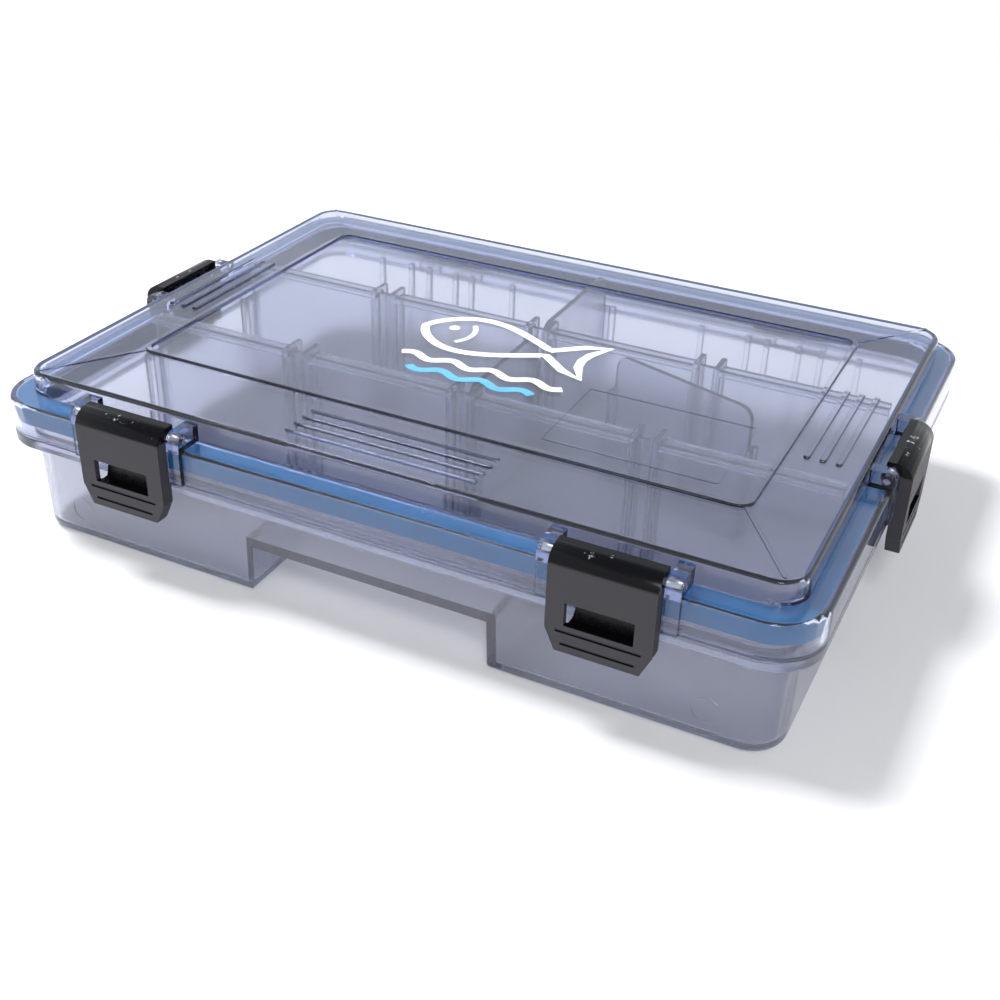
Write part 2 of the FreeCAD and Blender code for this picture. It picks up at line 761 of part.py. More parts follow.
os.makedirs("parts", exist_ok=True)
for name, shape in pieces.items():
    solid = shape.Solids[0] if len(shape.Solids) == 1 else shape
    solid.exportStep("parts/" + name + ".step")
    print(name, "solids", len(shape.Solids), "valid", shape.isValid(), "volume", round(shape.Volume, 1))
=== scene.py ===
# %% [markdown]
# # A waterproof tackle box
# The box is moulded from smoke-grey plastic that light passes through. Under its domed lid lie a
# blue seal, two long dividers and three short ones, and four black latches snap over its rim.
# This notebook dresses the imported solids: each step adds one finish, one print or one small
# piece, and says how the real thing is made and why it is drawn this way.

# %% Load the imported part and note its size
import json
import math

import bpy
from mathutils import Matrix, Vector


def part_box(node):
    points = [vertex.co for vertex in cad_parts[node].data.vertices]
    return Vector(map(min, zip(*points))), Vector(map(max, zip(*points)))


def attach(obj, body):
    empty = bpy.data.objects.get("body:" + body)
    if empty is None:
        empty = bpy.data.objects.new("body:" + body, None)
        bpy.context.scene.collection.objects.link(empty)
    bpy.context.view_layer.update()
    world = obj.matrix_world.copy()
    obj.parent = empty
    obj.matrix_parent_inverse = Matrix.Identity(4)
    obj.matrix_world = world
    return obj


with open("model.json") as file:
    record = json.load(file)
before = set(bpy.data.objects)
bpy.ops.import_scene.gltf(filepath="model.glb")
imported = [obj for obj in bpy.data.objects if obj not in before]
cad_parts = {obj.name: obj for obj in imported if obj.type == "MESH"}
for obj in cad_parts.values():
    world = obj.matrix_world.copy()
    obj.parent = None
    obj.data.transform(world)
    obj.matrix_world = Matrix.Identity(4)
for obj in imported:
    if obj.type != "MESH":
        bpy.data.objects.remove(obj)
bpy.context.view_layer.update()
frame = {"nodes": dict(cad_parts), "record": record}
MM = 0.001

# %% [markdown]
# ## Where the lid's top and the latches' folds lie
# Every place below is worked out from the solids, so nothing has to be fitted by eye. The lid's
# flat top is not the highest point of its node, because ribs stand up from it and the latch ears
# rise beside it. A count of its vertices finds it: most of them lie at that one height.

# %% Measure the lid and the latches
def commonest_height(node_name, above):
    """The height, in metres, at which most vertices of a node lie, above a given height."""
    counts = {}
    for vertex in frame["nodes"][node_name].data.vertices:
        height = round(vertex.co.z, 5)
        if height > above:
            counts[height] = counts.get(height, 0) + 1
    return max(counts, key=counts.get)


tray_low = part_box("base_tray")[0]
lid_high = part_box("lid")[1]
latch_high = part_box("latch_front_left")[1]
ears_and_ribs = 3 * MM
lid_top = commonest_height("lid", lid_high.z - ears_and_ribs)
nose_height = 3.7 * MM
latch_fold = latch_high.z - nose_height
print("lid top at", lid_top, "latch fold at", round(latch_fold, 5))

# %% [markdown]
# ## The camera
# A long lens from a little above the front keeps the box's sides nearly parallel, as in a
# catalogue picture. It could be aimed with a constraint, but three axes say the turn exactly:
# right, up and back.

# %% Place the camera
camera_place = Vector((0.15310, -0.32280, 0.21359))
camera_right = Vector((0.895887, 0.443471, 0.026827))
camera_up = Vector((-0.250304, 0.453926, 0.855160))
lens_length = 49.03
picture_width = 36.0
nearest_seen = 0.01

scene = bpy.context.scene
lens = bpy.data.cameras.new("catalogue_lens")
lens.lens = lens_length
lens.sensor_width = picture_width
lens.clip_start = nearest_seen
camera = bpy.data.objects.new("catalogue_camera", lens)
turn = Matrix((camera_right, camera_up, camera_right.cross(camera_up))).transposed()
camera.matrix_world = Matrix.Translation(camera_place) @ turn.to_4x4()
scene.collection.objects.link(camera)
scene.camera = camera
print("camera", [round(v, 3) for v in camera.location], "lens", lens.lens, "mm")

# %% [markdown]
# ## Tools for node trees
# Every finish is one Principled shader with a few textures in the object's own coordinates, which
# stay with a latch when it swings. The nodes could be made and joined one line at a time, but a
# few short helpers say the same in fewer words. They work on any node tree, so the floor and the
# room use them too.

# %% Make and join nodes
def new_finish(name):
    """A node-based material, and its Principled shader."""
    finish = bpy.data.materials.new(name)
    finish.use_nodes = True
    return finish, finish.node_tree.nodes["Principled BSDF"]


def add(finish, kind, **inputs):
    """A new node; inputs are named by their sockets, with _ for a space."""
    made = finish.node_tree.nodes.new("ShaderNode" + kind)
    for name, value in inputs.items():
        made.inputs[name.replace("_", " ")].default_value = value
    return made


def wire(finish, output, socket):
    """A link from a node's output to another node's socket."""
    finish.node_tree.links.new(output, socket)


print("a node can be added to a tree and wired")

# %% Work on values
def ranged(finish, value, low, high, to_low=0.0, to_high=1.0):
    """The value, moved from one range to another and kept inside it."""
    change = add(finish, "MapRange", From_Min=low, From_Max=high, To_Min=to_low, To_Max=to_high)
    wire(finish, value, change.inputs["Value"])
    return change.outputs["Result"]


def combined(finish, operation, first, second):
    """Two values in one step of arithmetic."""
    step = add(finish, "Math")
    step.operation = operation
    wire(finish, first, step.inputs[0])
    wire(finish, second, step.inputs[1])
    return step.outputs[0]


def is_seen(finish):
    """1 where the eye, gloss or clear plastic looks, and 0 where light is gathered."""
    path = add(finish, "LightPath")
    eye, gloss = path.outputs["Is Camera Ray"], path.outputs["Is Glossy Ray"]
    eye_or_gloss = combined(finish, "MAXIMUM", eye, gloss)
    return combined(finish, "MAXIMUM", eye_or_gloss, path.outputs["Is Transmission Ray"])


print("a value can be ranged and combined")

# %% [markdown]
# ## A floor that fades to white
# The box stands on a pale sheet that keeps its shadow. A large sheet would look grey to the
# horizon, and a small one would end in a visible edge. So plain white is mixed in where the sheet
# is seen: a small share beside the box, and all of it half a metre away. Light Path tells what is
# looking at it, so no more light falls on the box.

# %% Lay the floor
def square_sheet(name, half, height):
    """A flat square mesh, `half` metres from its middle to each side."""
    quarters = ((-1, -1), (1, -1), (1, 1), (-1, 1))
    mesh = bpy.data.meshes.new(name)
    mesh.from_pydata([(half * x, half * y, height) for x, y in quarters], [], [(0, 1, 2, 3)])
    sheet = bpy.data.objects.new(name, mesh)
    scene.collection.objects.link(sheet)
    return sheet


floor_half = 0.7
floor = square_sheet("floor", floor_half, tray_low.z)
print("floor at", round(tray_low.z, 5), "and", 2 * floor_half, "m wide")

# %% Paint the floor
white_from = 0.22
all_white_at = 0.50
white_beside_box = 0.15
floor_paint, surface = new_finish("pale_floor")
surface.inputs["Base Color"].default_value = (0.86, 0.86, 0.87, 1)
surface.inputs["Roughness"].default_value = 0.9
surface.inputs["Specular IOR Level"].default_value = 0.1
floor_place = add(floor_paint, "TexCoord")
way_from_box = add(floor_paint, "VectorMath")
way_from_box.operation = "LENGTH"
wire(floor_paint, floor_place.outputs["Object"], way_from_box.inputs[0])
way = way_from_box.outputs["Value"]
whiter_with_way = ranged(floor_paint, way, white_from, all_white_at, to_low=white_beside_box)
white_share = combined(floor_paint, "MULTIPLY", is_seen(floor_paint), whiter_with_way)
floor_mix = add(floor_paint, "MixShader")
wire(floor_paint, white_share, floor_mix.inputs["Fac"])
wire(floor_paint, surface.outputs[0], floor_mix.inputs[1])
wire(floor_paint, add(floor_paint, "Emission").outputs[0], floor_mix.inputs[2])
floor_output = floor_paint.node_tree.nodes["Material Output"]
wire(floor_paint, floor_mix.outputs[0], floor_output.inputs["Surface"])
floor.data.materials.append(floor_paint)
print(floor_paint.name, "is all white", all_white_at, "m from the middle")

# %% [markdown]
# ## A room for clear plastic to show
# Clear plastic has little colour of its own: it shows what stands round it. So the room matters
# as much as the lamps. An even white room would do for paint, but it leaves clear bends without
# lines. Gloss and clear plastic therefore see a room that is white low down and greyer straight
# overhead, which draws darker lines along the bends of the lid, while a dimmer even light falls
# on everything. The eye itself sees plain white behind the floor.

# %% Mix the room's shades
room = bpy.data.worlds.new("white_room")
scene.world = room
room.use_nodes = True
room.node_tree.nodes.clear()
direction = add(room, "TexCoord")
height_of_view = add(room, "SeparateXYZ")
wire(room, direction.outputs["Generated"], height_of_view.inputs[0])

cool_overhead = 0.93
cool_above = 0.3


def room_shade(stops, strength):
    """Light from the room: a ramp of greys from the horizon (0) to straight overhead (1)."""
    ramp = add(room, "ValToRGB")
    wire(room, height_of_view.outputs["Z"], ramp.inputs["Fac"])
    for place, grey in stops:
        if place in (0.0, 1.0):
            stop = ramp.color_ramp.elements[int(place)]
        else:
            stop = ramp.color_ramp.elements.new(place)
        cool = cool_overhead if place > cool_above else 1.0
        stop.color = (grey * cool, grey * (1 + cool) / 2, grey, 1)
    light = add(room, "Background", Strength=strength)
    wire(room, ramp.outputs["Color"], light.inputs["Color"])
    return light


cast_stops = [(0.0, 1.0), (1.0, 0.9)]
seen_stops = [(0.0, 1.0), (1.0, 0.3), (0.35, 0.9), (0.66, 1.0), (0.82, 0.4)]
cast_light = room_shade(cast_stops, strength=0.50)
seen_light = room_shade(seen_stops, strength=1.0)
plain_light = add(room, "Background", Color=(1, 1, 1, 1))
print("shades: cast, seen and plain")

# %% Choose the shade by what looks at it
def either_light(share, first, second):
    """The first light where the share is 0, and the second where it is 1."""
    mix = add(room, "MixShader")
    wire(room, share, mix.inputs["Fac"])
    wire(room, first.outputs[0], mix.inputs[1])
    wire(room, second.outputs[0], mix.inputs[2])
    return mix


cast_or_seen = either_light(is_seen(room), cast_light, seen_light)
eye = add(room, "LightPath").outputs["Is Camera Ray"]
room_light = either_light(eye, cast_or_seen, plain_light)
room_output = add(room, "OutputWorld")
wire(room, room_light.outputs[0], room_output.inputs["Surface"])
print("room nodes:", len(room.node_tree.nodes))

# %% [markdown]
# ## Two soft lamps
# The key lamp stands high on the left and throws the shadow to the right. A polished lid would
# mirror it as a hard white patch, so it is hidden from gloss. The front lamp is weaker and stays
# visible in gloss: it gives the small highlights on rounded edges. Light that passes through lid,
# tray and dividers crosses many walls, so it may bounce more often than usual.

# %% Hang the lamps
def soft_lamp(name, place, size, power):
    """A square white lamp that faces the middle of the box; in metres and watts."""
    light = bpy.data.lights.new(name, "AREA")
    light.size = size
    light.energy = power
    lamp = bpy.data.objects.new(name, light)
    lamp.location = place
    towards = Vector((0, 0, lid_top / 2)) - lamp.location
    lamp.rotation_euler = towards.to_track_quat("-Z", "Y").to_euler()
    scene.collection.objects.link(lamp)
    return lamp


key_lamp = soft_lamp("key_lamp", place=(-0.62, -0.02, 1.20), size=0.45, power=26.0)
key_lamp.visible_glossy = False
soft_lamp("front_lamp", place=(0.52, -0.95, 1.15), size=0.35, power=7.0)

# %% Let light through many walls
bounces = 24
scene.view_settings.view_transform = "Standard"
scene.cycles.max_bounces = bounces
scene.cycles.transmission_bounces = bounces
scene.cycles.transparent_max_bounces = bounces
print("light may bounce", bounces, "times")

# %% [markdown]
# ## Grain, blends and relief
# No moulded surface is quite even, and a flat colour gives a drawing away. Image textures could
# carry the unevenness, but noise made by nodes has no seams, and its size can be said in
# millimetres. One helper makes the grain, one spreads it over a range, one turns it into a blend
# of two colours, and one lets it stand up from the surface.

# %% Make grain
noise_low = 0.3
noise_high = 0.7


def grain(finish, size, stretch=(1, 1, 1), detail=3.0, roughness=0.5):
    """Noise whose lumps are about `size` mm across, longer along an axis with a small stretch."""
    coordinates = add(finish, "TexCoord")
    mapping = add(finish, "Mapping", Scale=stretch)
    wire(finish, coordinates.outputs["Object"], mapping.inputs["Vector"])
    noise = add(finish, "TexNoise", Scale=1 / (size * MM), Detail=detail, Roughness=roughness)
    wire(finish, mapping.outputs["Vector"], noise.inputs["Vector"])
    return noise.outputs["Fac"]


def spread(finish, noise, least=0.0, most=1.0):
    """Noise spread from the least value to the most: nearly all of it lies from 0.3 to 0.7."""
    return ranged(finish, noise, noise_low, noise_high, least, most)


print("noise is spread from", noise_low, "to", noise_high)

# %% Blend colours and raise relief
def blended(finish, share, first, second):
    """One colour that turns into another as the share goes from 0 to 1."""
    mix = add(finish, "Mix")
    mix.data_type = "RGBA"
    wire(finish, share, mix.inputs["Factor"])
    first_socket, second_socket, result = mix.inputs[6], mix.inputs[7], mix.outputs[2]
    for socket, colour in ((first_socket, first), (second_socket, second)):
        if isinstance(colour, tuple):
            socket.default_value = colour + (1,)
        else:
            wire(finish, colour, socket)
    return result


def bumped(finish, surface, height, depth, strength):
    """Lets a value stand up from the surface by `depth` mm."""
    bump = add(finish, "Bump", Strength=strength, Distance=depth * MM)
    wire(finish, height, bump.inputs["Height"])
    wire(finish, bump.outputs["Normal"], surface.inputs["Normal"])


print("colours can be blended and relief raised")

# %% [markdown]
# ## Smoke-grey plastic
# The lid is polished and the tray is satin, but both are clear resin with a little grey and
# violet dye. Two tints could do this: one at the surface, and one that grows with the way that
# light travels inside. The surface tint is steady and shows in thin walls. The dye inside darkens
# only long ways, such as edges, ribs and the bends of the lid, which is what makes thick clear
# plastic look real. Both are used, the second mostly in the lid.
#
# The index of the resin bends light at every wall, and a specular level below the usual one keeps
# the walls' reflections from veiling the blue seal behind them. Slow clouds in the tint stand for
# the flow of the resin, fine haze changes the gloss, and sparse specks are dust and gas marks.

# %% Say how to mix smoke-grey plastic
dye_colour = (0.18, 0.28, 0.67)
pale_speck = (0.92, 0.93, 0.95)
flow_size = 60
speck_size = 1.4
haze_size = 9
ripple_size = 5


def smoke_plastic(name, clearness, index, dye, thin_tint, thick_tint, gloss, satin):
    """Resin whose dye takes light away along the way through it; gloss and satin are the least
    and the most roughness of its surface."""
    finish, surface = new_finish(name)
    surface.inputs["Transmission Weight"].default_value = clearness
    surface.inputs["IOR"].default_value = index
    surface.inputs["Specular IOR Level"].default_value = 0.38
    flow = grain(finish, flow_size, stretch=(0.6, 1.6, 1), detail=2.0)
    tint = blended(finish, ranged(finish, flow, 0.35, 0.65), thin_tint, thick_tint)
    specks = ranged(finish, grain(finish, speck_size, detail=1.0), 0.80, 0.83)
    wire(finish, blended(finish, specks, tint, pale_speck), surface.inputs["Base Color"])
    haze = grain(finish, haze_size, detail=5.0, roughness=0.6)
    wire(finish, spread(finish, haze, gloss, satin), surface.inputs["Roughness"])
    ripples = grain(finish, ripple_size, detail=2.0)
    bumped(finish, surface, ripples, depth=0.01, strength=0.4)
    colouring = add(finish, "VolumeAbsorption", Color=dye_colour + (1,), Density=dye)
    finish_output = finish.node_tree.nodes["Material Output"]
    wire(finish, colouring.outputs[0], finish_output.inputs["Volume"])
    return finish


print("dye:", dye_colour)

# %% Mix the three plastics
lid_plastic = smoke_plastic(
    "lid_smoke_plastic", clearness=0.992, index=1.50, dye=100.0,
    thin_tint=(0.952, 0.968, 1.0), thick_tint=(0.928, 0.945, 0.988), gloss=0.03, satin=0.07,
)
tray_plastic = smoke_plastic(
    "tray_smoke_plastic", clearness=0.93, index=1.47, dye=50.0,
    thin_tint=(0.755, 0.76, 0.805), thick_tint=(0.715, 0.72, 0.765), gloss=0.18, satin=0.24,
)
divider_plastic = smoke_plastic(
    "divider_smoke_plastic", clearness=0.95, index=1.36, dye=40.0,
    thin_tint=(0.87, 0.885, 0.94), thick_tint=(0.84, 0.855, 0.91), gloss=0.18, satin=0.25,
)
print("plastics:", lid_plastic.name, tray_plastic.name, divider_plastic.name)

# %% [markdown]
# ## The blue seal
# The seal is a ring of soft blue rubber in a channel of the lid. It could be drawn see-through
# like the walls round it, but rubber of that thickness lets nothing through, so it is a plain
# dull surface with a faint mottle. The specular level is low, because a fine texture mirrors
# little.

# %% Mix the seal's rubber
seal_rubber, surface = new_finish("blue_seal_rubber")
surface.inputs["Specular IOR Level"].default_value = 0.15
mottle = spread(seal_rubber, grain(seal_rubber, 7, detail=4.0))
seal_tint = blended(seal_rubber, mottle, (0.001, 0.145, 0.33), (0.003, 0.175, 0.40))
wire(seal_rubber, seal_tint, surface.inputs["Base Color"])
dullness = spread(seal_rubber, grain(seal_rubber, 2, detail=3.0), least=0.38, most=0.55)
wire(seal_rubber, dullness, surface.inputs["Roughness"])
skin = grain(seal_rubber, 0.6, detail=2.0)
bumped(seal_rubber, surface, skin, depth=0.03, strength=0.5)
print(seal_rubber.name, "mixed")

# %% [markdown]
# ## Black latches with a polished nose
# A latch is moulded in black plastic whose front is finely textured, while its nose is polished.
# Two materials on one mesh could draw this, but their border would be a hard line. So one
# material changes with the height on the latch, and the polish fades in at the fold. Ledges that
# face up, such as the hook's top, take the nose's gloss and deep black too; on them the black is
# painted shade, as if they mirrored the dim room overhead. The normal in the latch's own space
# finds them.
#
# The nose is where thumbs press. Pale scuffs gather at its middle: a scratchy grain, with less of
# it towards the sides.

# %% Find the polished and the painted-dark places of a latch
black_specular = 0.16
below_fold = 0.2 * MM
above_fold = 0.5 * MM
latch_plastic, surface = new_finish("black_latch_plastic")
surface.inputs["Specular IOR Level"].default_value = black_specular
coordinates = add(latch_plastic, "TexCoord")
axes = add(latch_plastic, "SeparateXYZ")
wire(latch_plastic, coordinates.outputs["Object"], axes.inputs[0])
height = axes.outputs["Z"]
on_nose = ranged(latch_plastic, height, latch_fold - below_fold, latch_fold + above_fold)
# Up-facing ledges are painted dark: painted shade, as if they mirrored the dim room overhead.
facing = add(latch_plastic, "SeparateXYZ")
wire(latch_plastic, coordinates.outputs["Normal"], facing.inputs[0])
up_faces_painted_dark = ranged(latch_plastic, facing.outputs["Z"], 0.6, 0.9)
polish_and_painted_dark = combined(latch_plastic, "MAXIMUM", on_nose, up_faces_painted_dark)
print("polish starts", round(latch_fold - below_fold, 5), "m up")

# %% Scuff the nose
nose_middle = (0.5, 0.45, 0.97)
from_nose_middle = add(latch_plastic, "VectorMath")
from_nose_middle.operation = "DISTANCE"
from_nose_middle.inputs[1].default_value = nose_middle
wire(latch_plastic, coordinates.outputs["Generated"], from_nose_middle.inputs[0])
way = from_nose_middle.outputs["Value"]
fewer_with_way = ranged(latch_plastic, way, 0.12, 0.42, to_high=0.12)
scratches = grain(latch_plastic, 1.5, stretch=(0.6, 0.6, 1.4), detail=7.0, roughness=0.62)
scratches_left = combined(latch_plastic, "SUBTRACT", scratches, fewer_with_way)
scuffs = ranged(latch_plastic, scratches_left, 0.585, 0.635)
scuffs_on_nose = combined(latch_plastic, "MULTIPLY", scuffs, on_nose)
print("scuffs gather at", nose_middle, "of the latch's box")

# %% Mix the latches' plastic
# The textured face's black is lighter partly as painted sheen, for the room's light that the low
# specular level no longer mirrors.
textured_black_and_painted_sheen = (0.046, 0.045, 0.053)
polished_black = (0.003, 0.003, 0.004)
scuffed_grey = (0.35, 0.35, 0.37)
# The latch's black carries painted light: painted sheen on the face and painted shade on up-facing
# ledges.
latch_black_and_painted_light = blended(latch_plastic, polish_and_painted_dark, textured_black_and_painted_sheen, polished_black)
latch_tint_with_painted_light = blended(latch_plastic, scuffs_on_nose, latch_black_and_painted_light, scuffed_grey)
wire(latch_plastic, latch_tint_with_painted_light, surface.inputs["Base Color"])
face_grain = grain(latch_plastic, 0.8, detail=4.0)
nose_grain = grain(latch_plastic, 4, detail=5.0)
gloss = add(latch_plastic, "Mix")
wire(latch_plastic, polish_and_painted_dark, gloss.inputs["Factor"])
wire(latch_plastic, spread(latch_plastic, face_grain, least=0.42, most=0.56), gloss.inputs[2])
wire(latch_plastic, spread(latch_plastic, nose_grain, least=0.08, most=0.22), gloss.inputs[3])
wire(latch_plastic, gloss.outputs[0], surface.inputs["Roughness"])
moulded_texture = grain(latch_plastic, 0.35, detail=3.0)
bumped(latch_plastic, surface, moulded_texture, depth=0.02, strength=0.35)
print(latch_plastic.name, "mixed")

# %% [markdown]
# ## The hooks' black, deepened as painted shade
# The web on a hook lies in shadow behind the latch's window. In the latch's own finish it would
# look grey beside the rim, so its black is deepened as painted shade: no polish and no scuffs,
# only the flow of the plastic in its tint and gloss.

# %% Mix the hooks' painted-shade black
hook_black_painted_shade, surface = new_finish("hook_plastic_painted_shade")
surface.inputs["Specular IOR Level"].default_value = black_specular
hook_flow = spread(hook_black_painted_shade, grain(hook_black_painted_shade, 1.6, detail=4.0))
# The hook's near-black tint is painted shade for the dark space behind the latch's window.
hook_painted_shade_tint = blended(hook_black_painted_shade, hook_flow, polished_black, (0.009, 0.009, 0.011))
wire(hook_black_painted_shade, hook_painted_shade_tint, surface.inputs["Base Color"])
hook_gloss = spread(hook_black_painted_shade, grain(hook_black_painted_shade, 0.9, detail=4.0), least=0.2, most=0.36)
wire(hook_black_painted_shade, hook_gloss, surface.inputs["Roughness"])
hook_skin = grain(hook_black_painted_shade, 0.35, detail=3.0)
bumped(hook_black_painted_shade, surface, hook_skin, depth=0.01, strength=0.35)
print(hook_black_painted_shade.name, "mixed")

# %% [markdown]
# ## Drawn steel pins
# The latches and the lid turn on plain wire, and drawing leaves fine lines along it. An
# anisotropic shader could stretch its highlights, but on pins of two millimetres the lines
# themselves show better: one grain, drawn out along the wire, changes tint, gloss and relief.

# %% Mix the pins' steel
pin_steel, surface = new_finish("drawn_wire_steel")
surface.inputs["Metallic"].default_value = 1.0
wire_lines = grain(pin_steel, 0.5, stretch=(0.05, 1, 1), detail=4.0)
dark_steel = (0.5, 0.5, 0.51)
light_steel = (0.66, 0.66, 0.67)
steel_tint = blended(pin_steel, spread(pin_steel, wire_lines), dark_steel, light_steel)
wire(pin_steel, steel_tint, surface.inputs["Base Color"])
steel_gloss = spread(pin_steel, wire_lines, least=0.22, most=0.42)
wire(pin_steel, steel_gloss, surface.inputs["Roughness"])
bumped(pin_steel, surface, wire_lines, depth=0.01, strength=0.5)
print(pin_steel.name, "mixed")

# %% [markdown]
# ## Dressing the solids
# Each solid could be named here with its finish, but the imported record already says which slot
# each one has. So only the slots are matched with finishes, and every solid finds its own.

# %% Dress the solids
finish_of_slot = {
    "tray_plastic": tray_plastic,
    "lid_plastic": lid_plastic,
    "divider_plastic": divider_plastic,
    "seal_rubber": seal_rubber,
    "latch_plastic": latch_plastic,
    "pin_steel": pin_steel,
}
for row in frame["record"]["subparts"]:
    solid = frame["nodes"][row["node"]]
    solid.data.materials.clear()
    solid.data.materials.append(finish_of_slot[row["material_slot"]])

# %% [markdown]
# ## Softened edges on the lid and the latches
# A moulded edge is never sharp, and its small round catches the light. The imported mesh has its
# corners split from face to face, so a weld joins them again before a bevel rounds every edge
# that turns by more than a third of a right angle. A modifier does this without touching the mesh
# itself.

# %% Round the edges
weld_reach = 0.002 * MM
sharp_angle = math.radians(30)
round_steps = 2


def softened(solid, width):
    """Rounds the sharp edges of a solid by `width` mm."""
    weld = solid.modifiers.new("weld_corners", "WELD")
    weld.merge_threshold = weld_reach
    rounding = solid.modifiers.new("round_edges", "BEVEL")
    rounding.width = width * MM
    rounding.segments = round_steps
    rounding.limit_method = "ANGLE"
    rounding.angle_limit = sharp_angle
    rounding.harden_normals = True


softened(frame["nodes"]["lid"], width=0.3)
latch_nodes = [name for name in frame["nodes"] if name.startswith("latch_") and "pin" not in name]
for name in latch_nodes:
    softened(frame["nodes"][name], width=0.22)
print("softened:", latch_nodes)

# %% [markdown]
# ## The webs behind the latches' windows
# Each latch has a window, through which the mould reaches the hook. A short web stands on the
# hook, just outside the rim, and fills the window with black except at one end, where light
# comes through past its slanted side. It could be a box, but then the slanted side and the small
# rounds would be missing, so its outline is drawn as four corners and given a thickness. The
# front latches carry it as drawn, and the side ones turned by a quarter.

# %% Find the top of a hook
hook_reach = 0.25
edge_margin = 0.02


def hook_top_height():
    """The highest point, in metres, of the hook's edge that lies nearest to the rim."""
    edge = tray_low.y - hook_reach * MM
    near = edge_margin * MM
    corners = frame["nodes"]["latch_front_left"].data.vertices
    return max(corner.co.z for corner in corners if abs(corner.co.y - edge) < near)


hook_top = hook_top_height()
print("hook top at", round(hook_top, 5))

# %% Stand a web on each hook
rim_gap = 0.30
web_thickness = 0.6
web_outline = ((-7.9, -0.3), (8.0, -0.3), (8.0, 6.7), (-6.4, 6.7))
web_faces = [(0, 3, 2, 1), (4, 5, 6, 7), (0, 1, 5, 4), (1, 2, 6, 5), (2, 3, 7, 6), (3, 0, 4, 7)]


def hook_web(latch_name, quarter_turns):
    """A web behind a latch's window; the turn goes from the front latches' place about Z."""
    low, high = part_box(latch_name)
    along = (low.x + high.x) / 2 if quarter_turns == 0 else (low.y + high.y) / 2
    edge = tray_low.y if quarter_turns == 0 else tray_low.x
    corners = []
    for depth in (rim_gap, rim_gap + web_thickness):
        for across, up in web_outline:
            shift = -along if quarter_turns < 0 else along
            place = Vector((across * MM + shift, edge - depth * MM, hook_top + up * MM))
            place.rotate(Matrix.Rotation(quarter_turns * math.pi / 2, 3, "Z"))
            corners.append(place)
    name = latch_name.replace("latch", "hook_web")
    mesh = bpy.data.meshes.new(name)
    mesh.from_pydata(corners, [], web_faces)
    mesh.materials.append(hook_black_painted_shade)
    web = bpy.data.objects.new(name, mesh)
    scene.collection.objects.link(web)
    softened(web, width=0.12)
    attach(web, latch_name)
    return web


web_turns = {"latch_front_left": 0, "latch_front_right": 0, "latch_left": -1, "latch_right": 1}
for latch_name, quarter_turns in web_turns.items():
    web = hook_web(latch_name, quarter_turns)
    print(web.name, "at", [round(value, 4) for value in web.data.vertices[0].co])

# %% [markdown]
# ## The print on the lid
# A white and pale-blue ink print brightens the middle of the lid. This one is a plain fish over
# two waves. Curve objects with a bevel could draw its lines, but they give round wires instead of
# flat ink. So each line is a band: a path, moved half a line's width to either side and given the
# thickness of a film of ink. The paths come from formulas, so a curve is as smooth as the number
# of its steps.

# %% Draw bands of ink
ink_thickness = 0.06 * MM
ink_lift = 0.01 * MM
print_centre = Vector((0.0, -1.5 * MM))


def ink_band(path_points, width, closed=False):
    """Corners and faces of a flat band along a path in plan, in mm from the print's centre."""
    count = len(path_points)
    corners = []
    for number, point in enumerate(path_points):
        before = path_points[number - 1] if closed or number else point
        after = path_points[(number + 1) % count] if closed or number < count - 1 else point
        towards = (after[0] - before[0], after[1] - before[1])
        reach = math.hypot(*towards)
        aside = (-towards[1] / reach * width / 2, towards[0] / reach * width / 2)
        for side in (-1, 1):
            x = print_centre.x + (point[0] + side * aside[0]) * MM
            y = print_centre.y + (point[1] + side * aside[1]) * MM
            corners.append((x, y, lid_top + ink_lift))
            corners.append((x, y, lid_top + ink_lift + ink_thickness))
    faces = []
    for number in range(count if closed else count - 1):
        a = number * 4
        b = (number + 1) % count * 4
        faces.append((a + 1, b + 1, b + 3, a + 3))
        faces.append((a, a + 2, b + 2, b))
        faces.append((a, b, b + 1, a + 1))
        faces.append((a + 2, a + 3, b + 3, b + 2))
    if not closed:
        last = (count - 1) * 4
        faces.append((0, 1, 3, 2))
        faces.append((last, last + 2, last + 3, last + 1))
    return corners, faces


print("a film of ink is", ink_thickness, "m thick")

# %% Join bands into a printed piece
def printed(name, bands, ink):
    """One piece on the lid from several bands of the same ink."""
    corners = []
    faces = []
    for band_corners, band_faces in bands:
        start = len(corners)
        corners += band_corners
        faces += [tuple(start + corner for corner in face) for face in band_faces]
    mesh = bpy.data.meshes.new(name)
    mesh.from_pydata(corners, [], faces)
    mesh.materials.append(ink)
    piece = bpy.data.objects.new(name, mesh)
    scene.collection.objects.link(piece)
    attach(piece, "lid")
    print(name, "has", len(faces), "faces")


print("bands can be joined")

# %% [markdown]
# ## Screen-printed ink
# The ink is pressed through a mesh, so it covers nearly evenly, a little thinner in places, and
# dries satin. A plain white would do from far away. Near by, the thin places and a fine skin make
# it ink instead of a hole in the picture.

# %% Mix the inks
def printing_ink(name, thin_ink, full_ink):
    """Screen-printed ink: nearly even, a little thinner in places, and satin."""
    finish, surface = new_finish(name)
    cover = ranged(finish, grain(finish, 2.5, detail=5.0), 0.3, 0.6)
    wire(finish, blended(finish, cover, thin_ink, full_ink), surface.inputs["Base Color"])
    satin = spread(finish, grain(finish, 0.8, detail=3.0), least=0.35, most=0.5)
    wire(finish, satin, surface.inputs["Roughness"])
    ink_skin = grain(finish, 0.3, detail=2.0)
    bumped(finish, surface, ink_skin, depth=0.01, strength=0.4)
    return finish


white_ink = printing_ink("white_ink", thin_ink=(0.80, 0.81, 0.83), full_ink=(0.90, 0.90, 0.91))
blue_ink = printing_ink("pale_blue_ink", thin_ink=(0.08, 0.33, 0.72), full_ink=(0.11, 0.40, 0.80))
print("inks:", white_ink.name, blue_ink.name)

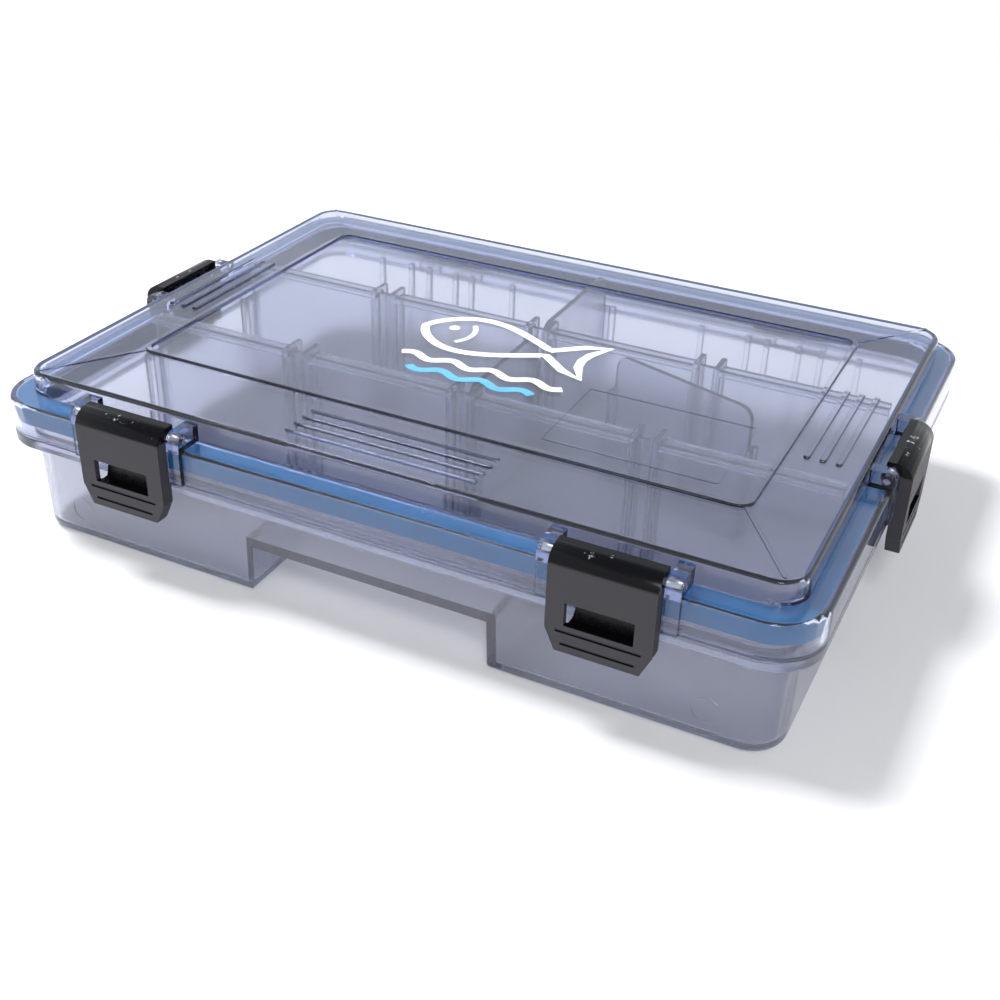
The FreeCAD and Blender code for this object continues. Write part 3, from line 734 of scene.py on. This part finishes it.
# %% [markdown]
# ## The fish and the waves
# The fish is one closed line: along its back, round the tail and back along its belly. It could
# be typed in point by point, but a formula keeps its curve smooth. Its depth follows a sine that
# leans towards the head, and the tail is four more points.

# %% Outline the fish
fish_length = 40.0
back_height = 11.0
lean_to_head = 0.72
fish_left = -28.0
fish_y = 5.0
tail_root = 1.8
tail_shape = ((8, 8.6), (14.5, 11.2), (11.2, 4.6), (10.4, 0))
fish_steps = 28


def fish_half_depth(share):
    """Half of the fish's depth, from its mouth (0) to the root of its tail (1)."""
    return back_height * math.sin(math.pi * share ** lean_to_head) + tail_root * share


def fish_outline():
    """The closed line round the fish, in mm from the print's centre."""
    back = []
    for step in range(fish_steps + 1):
        share = step / fish_steps
        back.append((fish_left + fish_length * share, fish_half_depth(share)))
    tail = [(fish_left + fish_length + x, y) for x, y in tail_shape]
    upper = back + tail
    lower = [(x, -y) for x, y in reversed(upper[1:-1])]
    return [(x, y + fish_y) for x, y in upper + lower]


print("the fish's line has", len(fish_outline()), "points")

# %% Say how waves and arcs run
wave_height = 1.3
wave_pitch = 12.5
wave_steps = 48
arc_steps = 20


def wave(y, length):
    """A sine in plan, level with `y`."""
    points = []
    for step in range(wave_steps + 1):
        x = length * (step / wave_steps - 0.5)
        points.append((x, y + wave_height * math.sin(2 * math.pi * x / wave_pitch)))
    return points


def arc(centre, radius, start, end):
    """Part of a circle in plan; angles in degrees."""
    points = []
    for step in range(arc_steps + 1):
        angle = math.radians(start + (end - start) * step / arc_steps)
        points.append((centre[0] + radius * math.cos(angle), centre[1] + radius * math.sin(angle)))
    return points


print("a wave has", wave_steps, "steps and an arc", arc_steps)

# %% Print the fish and the waves
line_width = 2.6
eye_line = arc(centre=(fish_left + 8.5, fish_y + 2.2), radius=0.8, start=0, end=342)
gill_line = arc(centre=(fish_left + 6, fish_y), radius=9.5, start=-42, end=42)
white_bands = [
    ink_band(fish_outline(), line_width, closed=True),
    ink_band(eye_line, width=1.6, closed=True),
    ink_band(gill_line, width=1.5),
    ink_band(wave(y=-14.5, length=50), line_width),
]
blue_bands = [ink_band(wave(y=-21.5, length=38), line_width)]
printed("lid_print_fish", white_bands, white_ink)
printed("lid_print_wave", blue_bands, blue_ink)
